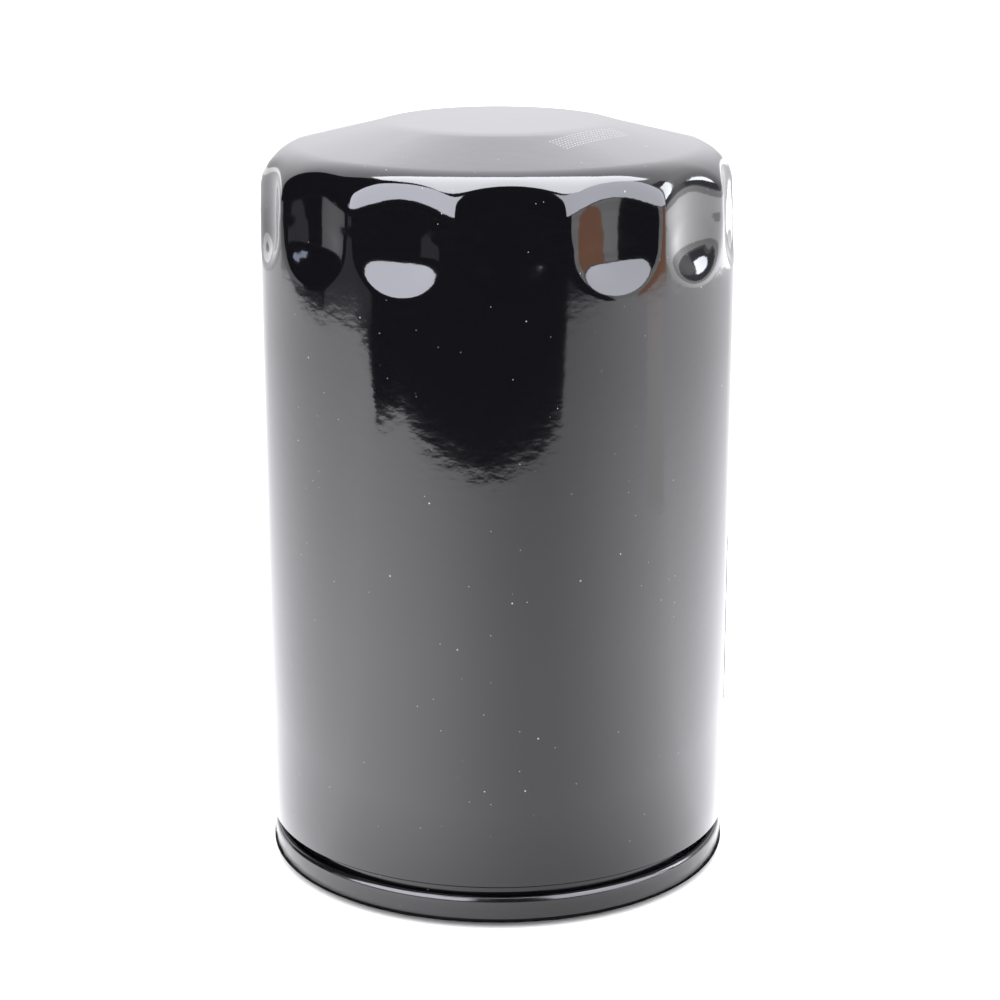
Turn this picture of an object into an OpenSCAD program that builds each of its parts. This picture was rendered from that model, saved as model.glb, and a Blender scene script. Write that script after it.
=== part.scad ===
// Spin-on oil filter, standing on its sealing gasket with the domed end up.
// Origin: centre of the gasket's bottom face. +Z runs along the axis, towards the dome.

/* [Canister] */
// Outer diameter of the can
can_d = 76.2; // [74:0.1:80]
// Height from the gasket's bottom face to the top of the dome
total_h = 122.9; // [118:0.1:130]
// Thickness of the can's steel
wall_t = 0.5; // [0.4:0.05:0.5]
// Radius of the rounded shoulder between the wall and the dome
shoulder_r = 7.8; // [7:0.1:8.5]
// Slope of the dome's conical ring, in degrees
dome_slope = 13.5; // [10:0.5:15]
// Diameter of the flat disc on top of the dome
disc_d = 35; // [32:0.5:38]

/* [Wrench flutes] */
// Number of flutes round the domed end
flute_count = 14; // [12:1:14]
// Width of one flute where it meets the wall
flute_w = 14; // [13:0.1:14.4]
// Depth of a flute at its middle
flute_depth = 1.7; // [1.2:0.1:1.8]
// Distance from the dome's top down to the lower end of the flutes
flute_drop = 21.4; // [19:0.1:23]
// Distance from the dome's top down to the upper end of the flute cutter
flute_top_gap = 0.5; // [0.2:0.1:4]
// Radius of the run-out at the lower end of a flute
flute_runout_r = 12; // [8:0.5:12]
// Turn of the flute pattern about the axis, in degrees
flute_phase = 2.9; // [0:0.1:25]

/* [Double seam] */
// Height of the seam's lower edge above the gasket's bottom face
seam_lift = 0.8; // [0.5:0.1:1.2]
// Height of the double seam
seam_h = 4.4; // [4.2:0.1:4.8]
// Clear height of the groove between the seam and the can's wall
neck_gap = 1.7; // [1.5:0.1:2]
// Thickness of the lid's steel
lid_t = 0.5; // [0.4:0.05:0.5]

/* [Base plate and thread] */
// Thickness of the base plate
plate_t = 2.8; // [2.5:0.1:3]
// Depth of the dish in the middle of the base plate
dish_depth = 1.6; // [1.2:0.1:1.8]
// Minor diameter of the 3/4-16 UNF thread
thread_minor_d = 17.4; // [17:0.1:17.6]
// Height of the threaded collar, from the dish's underside
collar_h = 11; // [10:0.1:12]
// Number of oil inlet holes
inlet_count = 8; // [6:1:10]
// Diameter of each inlet hole
inlet_d = 6.5; // [5:0.1:7]
// Diameter of the circle of inlet holes
inlet_pcd = 41; // [40:0.1:42]

/* [Gasket] */
// Radial width of the gasket's section
gasket_w = 4.5; // [4.3:0.1:4.5]

/* [Filter element] */
// Number of paper pleats
pleat_count = 48; // [40:1:50]
// Thickness of the pleated paper
paper_t = 0.4; // [0.3:0.05:0.45]
// Distance from the dome's top down to the top of the upper end cap
element_drop = 22.9; // [22:0.1:26]
// Outer diameter of the perforated centre tube
tube_d = 27; // [26.8:0.1:27.2]
// Diameter of each hole in the centre tube
tube_hole_d = 5; // [4:0.1:5.5]
// Number of rows of holes in the centre tube
tube_rows = 8; // [6:1:8]
// Number of holes in each row
tube_row_holes = 8; // [6:1:8]

/* [Bypass valve] */
// Diameter of the bypass orifice in the upper end cap
orifice_d = 14; // [13:0.1:15]
// Height of the bypass valve's cage
cage_h = 14; // [13:0.1:16]
// Wire diameter of the bypass spring
bypass_wire_d = 1; // [0.8:0.1:1.2]
// Number of turns of the bypass spring
bypass_turns = 6; // [5:1:8]

/* [Element spring] */
// Wire diameter of the element spring
element_wire_d = 1.8; // [1.4:0.1:2]
// Mean diameter of the element spring
element_coil_d = 26; // [24:0.5:27]
// Number of turns of the element spring
element_turns = 5; // [4:1:6]

/* [Label] */
// Height of the blank label
label_h = 29.5; // [20:0.5:40]
// Angle of the can that the label covers, in degrees
label_angle = 96; // [60:1:120]
// Thickness of the label
label_t = 0.1; // [0.08:0.01:0.2]

/* [Hidden] */
$fn = 96;
// Layers of the double seam lie this far apart
seam_clear = 0.05;
// Different moving bodies stay this far apart where they would touch
rest_gap = 0.1;
arc_steps = 6;
dome_steps = 16;

can_r = can_d / 2;
dome_in_z = total_h - wall_t;

// Dome: flat disc, blend arc, cone, then the shoulder arc
blend_r = 15;
blend_x = disc_d / 2 - blend_r * tan(dome_slope / 2);
shoulder_x = can_r - shoulder_r;
shoulder_end_x = shoulder_x + shoulder_r * sin(dome_slope);
cone_drop = (shoulder_end_x - disc_d / 2) * tan(dome_slope);
shoulder_z = total_h - cone_drop - shoulder_r * cos(dome_slope);

// Double seam: five layers of sheet between the can's radius and the recess
seam_top = seam_lift + seam_h;
lid_wall_in = can_r - lid_t;
body_hook_out = lid_wall_in - seam_clear;
body_hook_in = body_hook_out - wall_t;
cover_hook_out = body_hook_in - seam_clear;
cover_hook_in = cover_hook_out - lid_t;
neck_r = cover_hook_in - seam_clear;
neck_in = neck_r - wall_t;
chuck_out = neck_in - seam_clear;
chuck_in = chuck_out - lid_t;
hook_bend_r = (body_hook_in - neck_r) / 2;
hook_bend_x = neck_r + hook_bend_r;
lid_floor_z = seam_lift + lid_t;
sealant_t = 0.3;
hook_floor_z = lid_floor_z + sealant_t;
hook_bend_z = hook_floor_z + hook_bend_r + wall_t;
top_bend_in = (lid_wall_in - cover_hook_out) / 2;
top_bend_x = cover_hook_out + top_bend_in;
top_bend_z = seam_top - top_bend_in - lid_t;
body_hook_top = top_bend_z - 0.2;
cover_hook_end = hook_bend_z + 0.1;
seam_corner_r = 1;
chuck_corner_r = lid_t + 0.1;

// Neck: the can's wall turns in above the seam
neck_z = seam_top + neck_gap;
body_corner_r = 0.9;
neck_fillet_r = 0.5;

// Gasket channel in the lid
gasket_clear = 0.1;
gasket_out = chuck_in - gasket_clear;
gasket_in = gasket_out - gasket_w;
lip_out = gasket_in - gasket_clear;
lip_bend_in = 0.3;
lip_end_z = 2.6;
channel_z = 5.2;
panel_top_z = channel_z + lid_t;
gasket_top_z = channel_z - rest_gap / 2;
gasket_round = 0.6;
gasket_chamfer = 0.4;

// Base plate, welded on the lid's panel
plate_r = neck_in - 0.35;
plate_z = panel_top_z;
plate_chamfer = 0.4;
dish_z = plate_z - dish_depth;
dish_top_z = dish_z + plate_t;
dish_out = lip_out - lid_t - 0.8;
dish_in = dish_out - dish_depth - 1;
thread_r = thread_minor_d / 2;
collar_wall = 2.9;
collar_out = thread_r + collar_wall;
collar_top_z = dish_z + collar_h;
collar_fillet = 0.6;
entry_chamfer = 1;
exit_chamfer = 0.5;

// Anti-drain-back valve: collar on the base plate and a lip over the inlet holes
valve_in = collar_out + collar_fillet + 0.1;
valve_out = 15.6;
valve_top_z = 13;
flap_in = valve_out + 0.3;
flap_tip_r = dish_in - 0.4;
flap_root_z = 9.6;
flap_root_t = 1;
flap_tip_t = 0.6;
flap_tip_z = dish_top_z + 0.15;
flap_bead = 0.25;

// Filter element
cap_t = 0.5;
cap_bend = 1;
cap_r = can_r - 4;
cap_rim_h = 3.5;
cap_neck_in = 12.2;
lower_cap_z = valve_top_z + rest_gap;
lower_cap_top = lower_cap_z + cap_t;
upper_cap_top = total_h - element_drop;
upper_cap_z = upper_cap_top - cap_t;
glue_t = 2;
glue_out = cap_r - cap_bend;
tube_r = tube_d / 2;
tube_t = 0.5;
tube_z0 = lower_cap_top + 0.4;
tube_z1 = upper_cap_z - 0.7;
glue_in = tube_r + 0.1;
media_z0 = lower_cap_top + glue_t;
media_z1 = upper_cap_z - glue_t;
media_in = tube_r + 0.7;
media_out = cap_r - 1.2;
pleat_angle = 360 / pleat_count;
outer_fold_hw = 0.9 / media_out * 180 / PI;
inner_fold_hw = 0.65 / media_in * 180 / PI;
paper_out_angle = paper_t / media_out * 180 / PI;
paper_in_angle = paper_t / media_in * 180 / PI;
clip_t = 0.3;
clip_depth = 3;
clip_hw = 0.95;
row_pitch = (tube_z1 - tube_z0) / (tube_rows + 1);

// Bypass valve, hung under the upper end cap inside the centre tube
cage_t = 0.6;
cage_out = tube_r - tube_t - 0.8;
cage_flange_r = 16;
cage_z = upper_cap_z - cage_h;
cage_floor_top = cage_z + cage_t;
cage_window_w = 9;
cage_window_h = cage_h - 4.5;
orifice_r = orifice_d / 2;
seal_t = 1.4;
seal_r = orifice_r + 2;
seal_top_z = upper_cap_z - rest_gap;
seal_z = seal_top_z - seal_t;
seal_bore_r = 3;
poppet_t = 0.7;
poppet_r = seal_r - 0.4;
poppet_z = seal_z - poppet_t;
stem_r = 2;
stem_clear = 0.1;
stem_end_z = cage_z - 0.6;
rivet_r = seal_bore_r - 0.1;
washer_t = 0.4;
washer_r = orifice_r - 1.4;
rivet_head_t = 0.3;
bypass_coil_r = 5;

// Springs
spring_seat_gap = 0.05;
coil_sides = 8;
coil_steps = 20;
bead_in = element_coil_d / 2 + element_wire_d / 2 + 0.7;
bead_w = 2;
bead_h = 0.8;

// Radius of the upper rim of the flute cutter
flute_top_rim_r = 5;

label_z = 25.3;
label_start = -5.5;

// Points of an arc about [x, z], from angle a0 to angle a1
function arc(x, z, r, a0, a1, steps = arc_steps) =
    [for (i = [0:steps]) let (a = a0 + (a1 - a0) * i / steps) [x + r * cos(a), z + r * sin(a)]];

function reversed(list) = [for (i = [len(list) - 1:-1:0]) list[i]];

function polar(r, a) = [r * cos(a), r * sin(a)];

// The can's surface from the dome's centre down to the neck, moved inwards by inset
function can_skin(inset) = concat(
    [[0, total_h - inset]],
    arc(blend_x, total_h - blend_r, blend_r - inset, 90, 90 - dome_slope),
    arc(shoulder_x, shoulder_z, shoulder_r - inset, 90 - dome_slope, 0, dome_steps),
    arc(can_r - body_corner_r, neck_z + body_corner_r, body_corner_r - inset, 0, -90),
    arc(neck_r + neck_fillet_r, neck_z - neck_fillet_r, neck_fillet_r + inset, 90, 180)
);

// The body hook, which the lid's edge is rolled round
hook_skin = concat(
    arc(hook_bend_x, hook_bend_z, hook_bend_r, 180, 360),
    [[body_hook_in, body_hook_top], [body_hook_out, body_hook_top]],
    arc(hook_bend_x, hook_bend_z, hook_bend_r + wall_t, 360, 270)
);

// One flute cutter: the can's side of a fat disc with rounded rims that stands outside the can
module flute_cutter(inset) {
    half_w = flute_w / 2;
    chord_r = sqrt(can_r * can_r - half_w * half_w);
    floor_r = can_r - flute_depth;
    sag = chord_r - floor_r;
    cutter_r = (half_w * half_w + sag * sag) / (2 * sag);
    half_angle = asin(half_w / cutter_r) + 1.5;
    runout_rise = sqrt(flute_depth * (2 * flute_runout_r - flute_depth));
    back_r = cutter_r - flute_runout_r - 1;
    r = cutter_r + inset;
    low_rim = flute_runout_r + inset;
    top_rim = flute_top_rim_r + inset;
    z0 = total_h - flute_drop + runout_rise - low_rim;
    z1 = total_h - flute_top_gap + inset;
    translate([floor_r + cutter_r, 0, 0])
        rotate([0, 0, 180 - half_angle])
            rotate_extrude(angle = 2 * half_angle)
                polygon(concat(
                    [[back_r, z0]],
                    arc(r - low_rim, z0 + low_rim, low_rim, 270, 360),
                    arc(r - top_rim, z1 - top_rim, top_rim, 0, 90),
                    [[back_r, z1]]
                ));
}

module flute_cutters(inset) {
    for (i = [0:flute_count - 1])
        rotate([0, 0, -90 + flute_phase + i * 360 / flute_count])
            flute_cutter(inset);
}

module canister() color([0.06, 0.06, 0.065]) {
    difference() {
        rotate_extrude()
            polygon(concat(can_skin(0), hook_skin, [[0, hook_floor_z]]));
        flute_cutters(0);
        difference() {
            rotate_extrude()
                polygon(concat(can_skin(wall_t), [[neck_in, -1], [0, -1]]));
            flute_cutters(wall_t);
        }
    }
}

module seaming_lid() color([0.08, 0.08, 0.085]) {
    lower_skin = concat(
        [[lip_out, lip_end_z]],
        arc(lip_out + lip_bend_in, channel_z - lip_bend_in, lip_bend_in, 180, 90),
        arc(chuck_in - lip_bend_in, channel_z - lip_bend_in, lip_bend_in, 90, 0),
        arc(chuck_in + chuck_corner_r, seam_lift + chuck_corner_r, chuck_corner_r, 180, 270),
        arc(can_r - seam_corner_r, seam_lift + seam_corner_r, seam_corner_r, 270, 360),
        arc(top_bend_x, top_bend_z, top_bend_in + lid_t, 0, 180),
        [[cover_hook_in, cover_hook_end]]
    );
    upper_skin = concat(
        [[lip_out - lid_t, lip_end_z]],
        arc(lip_out + lip_bend_in, channel_z - lip_bend_in, lip_bend_in + lid_t, 180, 90),
        arc(chuck_in - lip_bend_in, channel_z - lip_bend_in, lip_bend_in + lid_t, 90, 0),
        arc(chuck_in + chuck_corner_r, seam_lift + chuck_corner_r, chuck_corner_r - lid_t, 180, 270),
        arc(can_r - seam_corner_r, seam_lift + seam_corner_r, seam_corner_r - lid_t, 270, 360),
        arc(top_bend_x, top_bend_z, top_bend_in, 0, 180),
        [[cover_hook_out, cover_hook_end]]
    );
    rotate_extrude()
        polygon(concat(lower_skin, reversed(upper_skin)));
}

module sealant_ring(r0, r1, z0, z1) {
    rotate_extrude()
        translate([r0, z0])
            square([r1 - r0, z1 - z0]);
}

// Lining compound at the foot of the can's hook and over its upper edge
module seam_sealant() color([0.55, 0.5, 0.35]) {
    sealant_ring(neck_in + 0.15, hook_bend_x - 0.05, lid_floor_z, hook_floor_z);
    sealant_ring(body_hook_in + 0.05, body_hook_out - 0.05, body_hook_top, top_bend_z + 0.15);
}

module base_plate() color([0.62, 0.62, 0.6]) {
    difference() {
        rotate_extrude()
            polygon(concat(
                [
                    [thread_r + entry_chamfer, dish_z],
                    [dish_out - dish_depth, dish_z],
                    [dish_out, plate_z],
                    [plate_r - plate_chamfer, plate_z],
                    [plate_r, plate_z + plate_chamfer],
                    [plate_r, plate_z + plate_t - plate_chamfer],
                    [plate_r - plate_chamfer, plate_z + plate_t],
                    [dish_in + dish_depth, plate_z + plate_t],
                    [dish_in, dish_top_z]
                ],
                arc(collar_out + collar_fillet, dish_top_z + collar_fillet, collar_fillet, 270, 180),
                [
                    [collar_out, collar_top_z - exit_chamfer],
                    [collar_out - exit_chamfer, collar_top_z],
                    [thread_r + exit_chamfer, collar_top_z],
                    [thread_r, collar_top_z - exit_chamfer],
                    [thread_r, dish_z + entry_chamfer]
                ]
            ));
        for (i = [0:inlet_count - 1])
            rotate([0, 0, (i + 0.5) * 360 / inlet_count])
                translate([inlet_pcd / 2, 0, dish_z - 1])
                    cylinder(d = inlet_d, h = plate_t + 2, $fn = 48);
    }
}

module sealing_gasket() color([0.12, 0.12, 0.12]) {
    rotate_extrude()
        polygon(concat(
            arc(gasket_in + gasket_round, gasket_round, gasket_round, 180, 270),
            arc(gasket_out - gasket_round, gasket_round, gasket_round, 270, 360),
            [
                [gasket_out, gasket_top_z - gasket_chamfer],
                [gasket_out - gasket_chamfer, gasket_top_z],
                [gasket_in + gasket_chamfer, gasket_top_z],
                [gasket_in, gasket_top_z - gasket_chamfer]
            ]
        ));
}

module drain_back_collar() color([0.75, 0.3, 0.12]) {
    edge = 0.4;
    rotate_extrude()
        polygon([
            [valve_in, dish_top_z],
            [valve_out - edge, dish_top_z],
            [valve_out, dish_top_z + edge],
            [valve_out, valve_top_z - edge],
            [valve_out - edge, valve_top_z],
            [valve_in, valve_top_z]
        ]);
}

module drain_back_flap() color([0.75, 0.3, 0.12]) {
    rotate_extrude()
        polygon([
            [flap_in, flap_root_z],
            [flap_tip_r - flap_tip_t, flap_tip_z + flap_bead],
            [flap_tip_r - flap_tip_t / 2, flap_tip_z],
            [flap_tip_r, flap_tip_z + flap_bead],
            [flap_tip_r, flap_tip_z + flap_bead + flap_tip_t],
            [flap_in + 1, flap_root_z + flap_root_t],
            [flap_in, flap_root_z + flap_root_t]
        ]);
}

module lower_end_cap() color([0.7, 0.68, 0.6]) {
    rim_z = lower_cap_z + cap_bend;
    lower_skin = concat(
        [[cap_neck_in, lower_cap_z + 3]],
        arc(cap_neck_in + cap_bend, rim_z, cap_bend, 180, 270),
        arc(cap_r - cap_bend, rim_z, cap_bend, 270, 360),
        [[cap_r, lower_cap_z + cap_rim_h]]
    );
    upper_skin = concat(
        [[cap_neck_in + cap_t, lower_cap_z + 3]],
        arc(cap_neck_in + cap_bend, rim_z, cap_bend - cap_t, 180, 270),
        arc(cap_r - cap_bend, rim_z, cap_bend - cap_t, 270, 360),
        [[cap_r - cap_t, lower_cap_z + cap_rim_h]]
    );
    rotate_extrude()
        polygon(concat(lower_skin, reversed(upper_skin)));
}

// One face of the upper end cap, from the orifice over the locating bead to the rim
function upper_cap_skin(z, bend) = concat(
    [
        [orifice_r, z],
        [bead_in, z],
        [bead_in + bead_h, z + bead_h],
        [bead_in + bead_w, z + bead_h],
        [bead_in + bead_w + bead_h, z]
    ],
    arc(cap_r - cap_bend, upper_cap_top - cap_bend, bend, 90, 0),
    [[cap_r - cap_bend + bend, upper_cap_top - cap_rim_h]]
);

module upper_end_cap() color([0.7, 0.68, 0.6]) {
    outside = upper_cap_skin(upper_cap_top, cap_bend);
    inside = upper_cap_skin(upper_cap_z, cap_bend - cap_t);
    rotate_extrude()
        polygon(concat(outside, reversed(inside)));
}

module glue_ring(r0, z0) {
    rotate_extrude()
        translate([r0, z0])
            square([glue_out - r0, glue_t]);
}

module lower_adhesive() color([0.35, 0.55, 0.4]) glue_ring(glue_in, lower_cap_top);

module upper_adhesive() color([0.35, 0.55, 0.4]) glue_ring(cage_flange_r + 0.2, media_z1);

// One side of the folded paper: outer folds at r1 and inner folds at r0
function pleat_side(r0, r1, hw0, hw1) = [
    for (i = [0:pleat_count - 1])
        let (a = i * pleat_angle)
            each [
                polar(r1, a - hw1),
                polar(r1, a + hw1),
                polar(r0, a + pleat_angle / 2 - hw0),
                polar(r0, a + pleat_angle / 2 + hw0)
            ]
];

module pleated_media() color([0.88, 0.8, 0.6]) {
    difference() {
        translate([0, 0, media_z0])
            linear_extrude(media_z1 - media_z0)
                polygon(pleat_side(
                    media_in + paper_t, media_out,
                    inner_fold_hw - paper_in_angle, outer_fold_hw
                ));
        translate([0, 0, media_z0 - 1])
            linear_extrude(media_z1 - media_z0 + 2)
                polygon(pleat_side(
                    media_in, media_out - paper_t,
                    inner_fold_hw, outer_fold_hw - paper_out_angle
                ));
    }
}

// Folded steel strip that grips the two ends of the paper at one outer fold
module media_seam_clip() color([0.75, 0.75, 0.76]) {
    z0 = media_z0 + rest_gap;
    x0 = media_out - clip_depth;
    x1 = media_out + rest_gap / 2;
    translate([0, 0, z0])
        linear_extrude(media_z1 - z0 - rest_gap)
            polygon([
                [x0, clip_hw],
                [x1, clip_hw],
                [x1, -clip_hw],
                [x0, -clip_hw],
                [x0, -clip_hw - clip_t],
                [x1 + clip_t, -clip_hw - clip_t],
                [x1 + clip_t, clip_hw + clip_t],
                [x0, clip_hw + clip_t]
            ]);
}

module center_tube() color([0.72, 0.72, 0.7]) {
    hole_angle = 360 / tube_row_holes;
    drill_h = 4;
    difference() {
        translate([0, 0, tube_z0])
            cylinder(r = tube_r, h = tube_z1 - tube_z0);
        translate([0, 0, tube_z0 - 1])
            cylinder(r = tube_r - tube_t, h = tube_z1 - tube_z0 + 2);
        for (row = [1:tube_rows])
            for (i = [0:tube_row_holes - 1])
                rotate([0, 0, (i + (row % 2) / 2 + 0.25) * hole_angle])
                    translate([tube_r - drill_h / 2, 0, tube_z0 + row * row_pitch])
                        rotate([0, 90, 0])
                            cylinder(d = tube_hole_d, h = drill_h, $fn = 32);
    }
}

module bypass_cage() color([0.68, 0.68, 0.7]) {
    flange_z = upper_cap_z - cage_t;
    difference() {
        rotate_extrude()
            polygon([
                [stem_r + stem_clear, cage_z],
                [cage_out, cage_z],
                [cage_out, flange_z],
                [cage_flange_r, flange_z],
                [cage_flange_r, upper_cap_z],
                [cage_out - cage_t, upper_cap_z],
                [cage_out - cage_t, cage_floor_top],
                [stem_r + stem_clear, cage_floor_top]
            ]);
        for (a = [0, 90])
            rotate([0, 0, a])
                translate([-cage_out - 1, -cage_window_w / 2, cage_z + 1.8])
                    cube([2 * cage_out + 2, cage_window_w, cage_window_h]);
    }
}

module bypass_poppet() color([0.8, 0.78, 0.6]) {
    rotate_extrude()
        polygon([
            [0, stem_end_z],
            [stem_r, stem_end_z],
            [stem_r, poppet_z],
            [poppet_r, poppet_z],
            [poppet_r, seal_z],
            [rivet_r, seal_z],
            [rivet_r, seal_top_z + washer_t],
            [rivet_r + 0.5, seal_top_z + washer_t],
            [rivet_r, seal_top_z + washer_t + rivet_head_t],
            [0, seal_top_z + washer_t + rivet_head_t]
        ]);
}

module bypass_seal() color([0.1, 0.1, 0.1]) {
    rotate_extrude()
        translate([seal_bore_r, seal_z])
            square([seal_r - seal_bore_r, seal_t]);
}

module seal_retainer() color([0.7, 0.7, 0.72]) {
    rotate_extrude()
        translate([seal_bore_r, seal_top_z])
            square([washer_r - seal_bore_r, washer_t]);
}

// Height of a spring's wire centre after t turns: closed end turns, open middle
function coil_z(t, turns, h, wire_d) =
    let (open_h = h - wire_d - 2 * wire_d * 1.05)
        t < 1 ? t * wire_d * 1.05 :
        t > turns - 1 ? h - wire_d - (turns - t) * wire_d * 1.05 :
        wire_d * 1.05 + (t - 1) / (turns - 2) * open_h;

module coil_spring(coil_r, wire_d, turns, z0, h) {
    count = turns * coil_steps;
    points = [
        for (i = [0:count])
            for (j = [0:coil_sides - 1])
                let (
                    a = i * 360 / coil_steps,
                    b = j * 360 / coil_sides,
                    r = coil_r + wire_d / 2 * cos(b)
                )
                    [
                        r * cos(a),
                        r * sin(a),
                        z0 + wire_d / 2 * (1 + sin(b)) + coil_z(i / coil_steps, turns, h, wire_d)
                    ]
    ];
    sides = [
        for (i = [0:count - 1])
            for (j = [0:coil_sides - 1])
                let (k = (j + 1) % coil_sides)
                    [
                        i * coil_sides + j,
                        (i + 1) * coil_sides + j,
                        (i + 1) * coil_sides + k,
                        i * coil_sides + k
                    ]
    ];
    first = [for (j = [0:coil_sides - 1]) j];
    last = [for (j = [coil_sides - 1:-1:0]) count * coil_sides + j];
    polyhedron(points, concat(sides, [first, last]), convexity = 10);
}

module bypass_spring() color([0.82, 0.82, 0.84]) {
    z0 = cage_floor_top + spring_seat_gap;
    coil_spring(bypass_coil_r, bypass_wire_d, bypass_turns, z0, poppet_z - spring_seat_gap - z0);
}

module element_spring() color([0.8, 0.8, 0.82]) {
    z0 = upper_cap_top + spring_seat_gap;
    coil_spring(element_coil_d / 2, element_wire_d, element_turns, z0, dome_in_z - spring_seat_gap - z0);
}

module label() color([0.16, 0.16, 0.17]) {
    rotate([0, 0, label_start])
        rotate_extrude(angle = label_angle)
            translate([can_r, label_z])
                square([label_t, label_h]);
}

canister();
seaming_lid();
seam_sealant();
base_plate();
sealing_gasket();
drain_back_collar();
drain_back_flap();
lower_end_cap();
lower_adhesive();
pleated_media();
media_seam_clip();
center_tube();
upper_adhesive();
upper_end_cap();
bypass_cage();
bypass_poppet();
bypass_seal();
seal_retainer();
bypass_spring();
element_spring();
label();
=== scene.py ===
import math

import bpy
import numpy as np
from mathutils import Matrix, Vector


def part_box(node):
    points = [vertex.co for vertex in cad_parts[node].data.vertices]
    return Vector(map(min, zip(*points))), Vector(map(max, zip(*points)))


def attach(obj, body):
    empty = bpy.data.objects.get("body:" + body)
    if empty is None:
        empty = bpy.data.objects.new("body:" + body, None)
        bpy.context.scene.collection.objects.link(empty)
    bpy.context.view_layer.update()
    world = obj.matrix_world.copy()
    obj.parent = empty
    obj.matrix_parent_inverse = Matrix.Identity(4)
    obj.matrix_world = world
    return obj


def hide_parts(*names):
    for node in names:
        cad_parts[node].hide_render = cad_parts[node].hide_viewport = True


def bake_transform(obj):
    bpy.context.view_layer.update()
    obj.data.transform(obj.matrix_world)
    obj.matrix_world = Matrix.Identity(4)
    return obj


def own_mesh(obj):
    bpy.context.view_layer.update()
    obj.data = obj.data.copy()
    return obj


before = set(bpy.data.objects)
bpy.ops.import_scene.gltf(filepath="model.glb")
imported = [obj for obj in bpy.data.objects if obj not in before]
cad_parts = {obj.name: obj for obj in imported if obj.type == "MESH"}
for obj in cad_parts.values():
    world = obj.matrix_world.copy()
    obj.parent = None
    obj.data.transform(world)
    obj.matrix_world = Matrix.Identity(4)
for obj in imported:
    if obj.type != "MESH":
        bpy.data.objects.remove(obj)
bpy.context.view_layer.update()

MM = 0.001

# ---------------------------------------------------------------- sizes, in millimetres
CAN_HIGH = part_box("canister")[1]
CAN_R = CAN_HIGH.x / MM
TOP = CAN_HIGH.z / MM
GASKET_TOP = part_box("sealing_gasket")[1].z / MM
LABEL_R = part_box("label")[1].x / MM
WALL = 0.5

SHOULDER_R = 7.8
DOME_SLOPE = math.radians(13.5)
DISC_R = 17.5
DISC_BLEND = 15.0

LID_T = 0.5
SEAM_GAP = 0.05
SEAM_BOTTOM = 0.8
SEAM_H = 4.4
NECK_GAP = 1.7

FLUTES = 14
FLUTE_W = 14.0
FLUTE_DEPTH = 1.7
FLUTE_LOW = TOP - 21.4
FLUTE_RUNOUT = 12.0
FLUTE_SOFT = (0.9, 1.9)
FLUTE_PHASE = math.radians(2.9)


# ---------------------------------------------------------------- mesh helpers
def arc(x, z, r, a0, a1, steps):
    """Points of an arc about (x, z) from angle a0 to a1, in degrees."""
    angles = np.radians(np.linspace(a0, a1, steps + 1))
    return [(x + r * math.cos(a), z + r * math.sin(a)) for a in angles]


def line(p, q, steps):
    """Points from p to q, without p."""
    return [
        (p[0] + (q[0] - p[0]) * i / steps, p[1] + (q[1] - p[1]) * i / steps) for i in range(1, steps + 1)
    ]


def eased(before, here, after, radius, steps):
    """Points that round the corner at here, reaching at most radius along its two sides."""
    legs = []
    for end in (before, after):
        dx, dz = end[0] - here[0], end[1] - here[1]
        size = math.hypot(dx, dz)
        reach = min(radius, size * 0.45)
        legs.append((here[0] + dx / size * reach, here[1] + dz / size * reach))
    points = []
    for n in range(steps + 1):
        t = n / steps
        points.append(tuple(
            (1 - t) ** 2 * legs[0][k] + 2 * t * (1 - t) * here[k] + t * t * legs[1][k] for k in (0, 1)
        ))
    return points


def rounded(points, radius, steps=4):
    """The open line of (r, z) points with its inner corners rounded."""
    out = [points[0]]
    for before, here, after in zip(points, points[1:], points[2:]):
        out += eased(before, here, after, radius, steps)
    return out + [points[-1]]


def make_object(name, vertices, faces, sharp_degrees=35):
    """A smooth-shaded mesh object; vertices are in millimetres."""
    mesh = bpy.data.meshes.new(name)
    mesh.from_pydata((np.asarray(vertices, float) * MM).tolist(), [], faces)
    mesh.validate()
    mesh.polygons.foreach_set("use_smooth", [True] * len(mesh.polygons))
    mesh.set_sharp_from_angle(angle=math.radians(sharp_degrees))
    mesh.update()
    obj = bpy.data.objects.new(name, mesh)
    bpy.context.scene.collection.objects.link(obj)
    return obj


def lathe(name, profile, segments, shape=None, loop=True, sharp_degrees=35):
    """Revolves a profile of (r, z) points, walked clockwise in the r-z plane, about the Z axis.

    shape(r, z, angle) may return other radii and heights. A point with r = 0 becomes one vertex.
    loop joins the last point to the first; otherwise both ends have to lie on the axis.
    """
    angles = np.arange(segments) * 2 * math.pi / segments
    vertices, rows = [], []
    for r, z in profile:
        if r < 1e-6:
            rows.append([len(vertices)] * segments)
            vertices.append((0.0, 0.0, z))
            continue
        radii, heights = np.full(segments, float(r)), np.full(segments, float(z))
        if shape:
            radii, heights = shape(radii, heights, angles)
        start = len(vertices)
        rows.append(list(range(start, start + segments)))
        vertices.extend(zip(radii * np.cos(angles), radii * np.sin(angles), heights))
    faces = []
    count = len(rows)
    for i in range(count if loop else count - 1):
        a, b = rows[i], rows[(i + 1) % count]
        for j in range(segments):
            k = (j + 1) % segments
            quad = [a[j], b[j], b[k], a[k]]
            face = [v for n, v in enumerate(quad) if v not in quad[:n]]
            if len(face) > 2:
                faces.append(face)
    return make_object(name, vertices, faces, sharp_degrees)


def soft_min(a, b, k):
    """The smaller of a and b, with their crease rounded over a width of k."""
    h = np.clip(k - np.abs(a - b), 0, None) / k
    return np.minimum(a, b) - h * h * k / 4


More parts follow.
